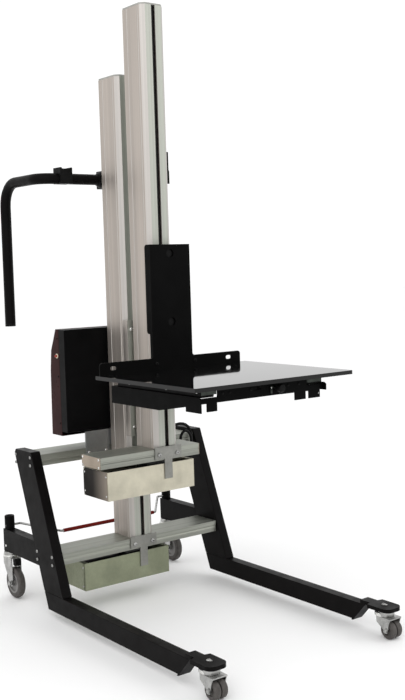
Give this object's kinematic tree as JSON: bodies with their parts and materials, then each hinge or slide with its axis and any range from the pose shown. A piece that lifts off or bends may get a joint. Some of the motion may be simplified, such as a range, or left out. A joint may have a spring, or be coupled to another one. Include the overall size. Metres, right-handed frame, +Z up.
{
  "type": "mast lift trolley",
  "caption": "Powered mast lift on a wheeled fork base: a fixed and a moving slotted mast, a carriage with a pull-out shelf, a control box, a side handle and a foot brake.",
  "frame": {"origin": "middle of the footprint on the floor", "axes": "+Z up, -Y towards the fork legs and the load, +Y towards the operator, +X to the hand control side"},
  "size_m": [0.683, 1.189, 1.837],
  "materials": {
    "frame_paint": "satin black powder coat",
    "shelf_paint": "glossy black enamel",
    "mast_aluminium": "natural anodised extrusion",
    "slider_aluminium": "brushed",
    "galvanised_sheet": "galvanised sheet",
    "zinc_plate": "bright zinc plate",
    "drive_steel": "black enamel",
    "black_plastic": "fine textured",
    "box_front": "satin black",
    "box_cover": "dark maroon enamel",
    "belt_rubber": "moulded",
    "foot_bar_paint": "red enamel",
    "tyre_rubber": "soft brown grey rubber",
    "hub_grey": "moulded grey",
    "button_red": "moulded",
    "button_grey": "moulded",
    "cable_jacket": "smooth jacket"
  },
  "bodies": {
    "base": {"left_leg": "frame_paint", "left_post": "frame_paint", "left_rear_arm": "frame_paint", "left_stem_tube": "frame_paint", "left_tip_plate": "frame_paint", "right_leg": "frame_paint", "right_post": "frame_paint", "right_rear_arm": "frame_paint", "right_stem_tube": "frame_paint", "right_tip_plate": "frame_paint", "upper_beam": "mast_aluminium", "lower_beam": "mast_aluminium", "fixed_mast": "mast_aluminium", "fixed_mast_cap": "black_plastic", "fixed_belt": "belt_rubber", "lower_tee_bracket": "galvanised_sheet", "lower_drive_cover": "galvanised_sheet", "lower_motor": "drive_steel", "control_bracket": "galvanised_sheet", "control_housing": "box_front", "control_cover": "box_cover", "handle_bar": "frame_paint", "handle_clamp": "black_plastic", "control_cradle": "black_plastic", "hand_control": "black_plastic", "motor_cable": "cable_jacket"},
    "stage": {"stage_beam": "mast_aluminium", "stage_tee_bracket": "galvanised_sheet", "stage_drive_cover": "galvanised_sheet", "stage_motor": "drive_steel", "moving_mast": "mast_aluminium", "moving_mast_cap": "black_plastic", "moving_belt": "belt_rubber", "mast_slider": "slider_aluminium"},
    "carriage": {"carriage_back_plate": "frame_paint", "carriage_slider": "black_plastic", "carriage_arm_left": "frame_paint", "carriage_arm_right": "frame_paint", "carriage_front_rail": "frame_paint", "slide_outer_left": "frame_paint", "slide_outer_right": "frame_paint"},
    "shelf": {"shelf_plate": "shelf_paint", "slide_inner_left": "zinc_plate", "slide_inner_right": "zinc_plate"},
    "lock_plunger": {"lock_plunger": "black_plastic"},
    "power_button": {"power_button": "button_red"},
    "up_button": {"up_button": "button_grey"},
    "down_button": {"down_button": "button_grey"},
    "brake": {"brake_rod": "zinc_plate", "brake_foot_bar": "foot_bar_paint"},
    "rear_left_caster": {"rear_left_fork": "zinc_plate"},
    "rear_left_wheel": {"rear_left_tyre": "tyre_rubber", "rear_left_hub": "hub_grey"},
    "front_left_caster": {"front_left_fork": "zinc_plate"},
    "front_left_wheel": {"front_left_wheels": "tyre_rubber"},
    "rear_right_caster": {"rear_right_fork": "zinc_plate"},
    "rear_right_wheel": {"rear_right_tyre": "tyre_rubber", "rear_right_hub": "hub_grey"},
    "front_right_caster": {"front_right_fork": "zinc_plate"},
    "front_right_wheel": {"front_right_wheels": "tyre_rubber"}
  },
  "joints": [
    {"name": "stage_lift", "type": "slide", "parent": "base", "child": "stage", "axis": [0, 0, 1], "range_m": [-0.3, 0.7]},
    {"name": "carriage_lift", "type": "slide", "parent": "stage", "child": "carriage", "axis": [0, 0, 1], "range_m": [-0.18, 0.72]},
    {"name": "shelf_slide", "type": "slide", "parent": "carriage", "child": "shelf", "axis": [0, -1, 0], "range_m": [0, 0.25]},
    {"name": "plunger_pull", "type": "slide", "parent": "carriage", "child": "lock_plunger", "axis": [0, -1, 0], "range_m": [0, 0.008], "stiffness_N_per_m": 900, "springref_m": -0.004},
    {"name": "power_press", "type": "slide", "parent": "base", "child": "power_button", "axis": [1, 0, 0], "range_m": [0, 0.003], "stiffness_N_per_m": 800, "springref_m": -0.002},
    {"name": "up_press", "type": "slide", "parent": "base", "child": "up_button", "axis": [0, -1, 0], "range_m": [0, 0.003], "stiffness_N_per_m": 800, "springref_m": -0.002},
    {"name": "down_press", "type": "slide", "parent": "base", "child": "down_button", "axis": [0, -1, 0], "range_m": [0, 0.003], "stiffness_N_per_m": 800, "springref_m": -0.002},
    {"name": "brake_pivot", "type": "hinge", "parent": "base", "child": "brake", "pos_m": [0, 0.5135, 0.232], "axis": [1, 0, 0], "range_deg": [-20, 20]},
    {"name": "rear_left_swivel", "type": "hinge", "parent": "base", "child": "rear_left_caster", "pos_m": [-0.31, 0.5135, 0.14], "axis": [0, 0, 1], "continuous": true},
    {"name": "rear_left_roll", "type": "hinge", "parent": "rear_left_caster", "child": "rear_left_wheel", "pos_m": [-0.31, 0.4855, 0.05], "axis": [1, 0, 0], "continuous": true},
    {"name": "front_left_swivel", "type": "hinge", "parent": "base", "child": "front_left_caster", "pos_m": [-0.31, -0.5495, 0.07], "axis": [0, 0, 1], "continuous": true},
    {"name": "front_left_roll", "type": "hinge", "parent": "front_left_caster", "child": "front_left_wheel", "pos_m": [-0.31, -0.5695, 0.025], "axis": [1, 0, 0], "continuous": true},
    {"name": "rear_right_swivel", "type": "hinge", "parent": "base", "child": "rear_right_caster", "pos_m": [0.31, 0.5135, 0.14], "axis": [0, 0, 1], "continuous": true},
    {"name": "rear_right_roll", "type": "hinge", "parent": "rear_right_caster", "child": "rear_right_wheel", "pos_m": [0.31, 0.4855, 0.05], "axis": [1, 0, 0], "continuous": true},
    {"name": "front_right_swivel", "type": "hinge", "parent": "base", "child": "front_right_caster", "pos_m": [0.31, -0.5495, 0.07], "axis": [0, 0, 1], "continuous": true},
    {"name": "front_right_roll", "type": "hinge", "parent": "front_right_caster", "child": "front_right_wheel", "pos_m": [0.31, -0.5695, 0.025], "axis": [1, 0, 0], "continuous": true}
  ]
}
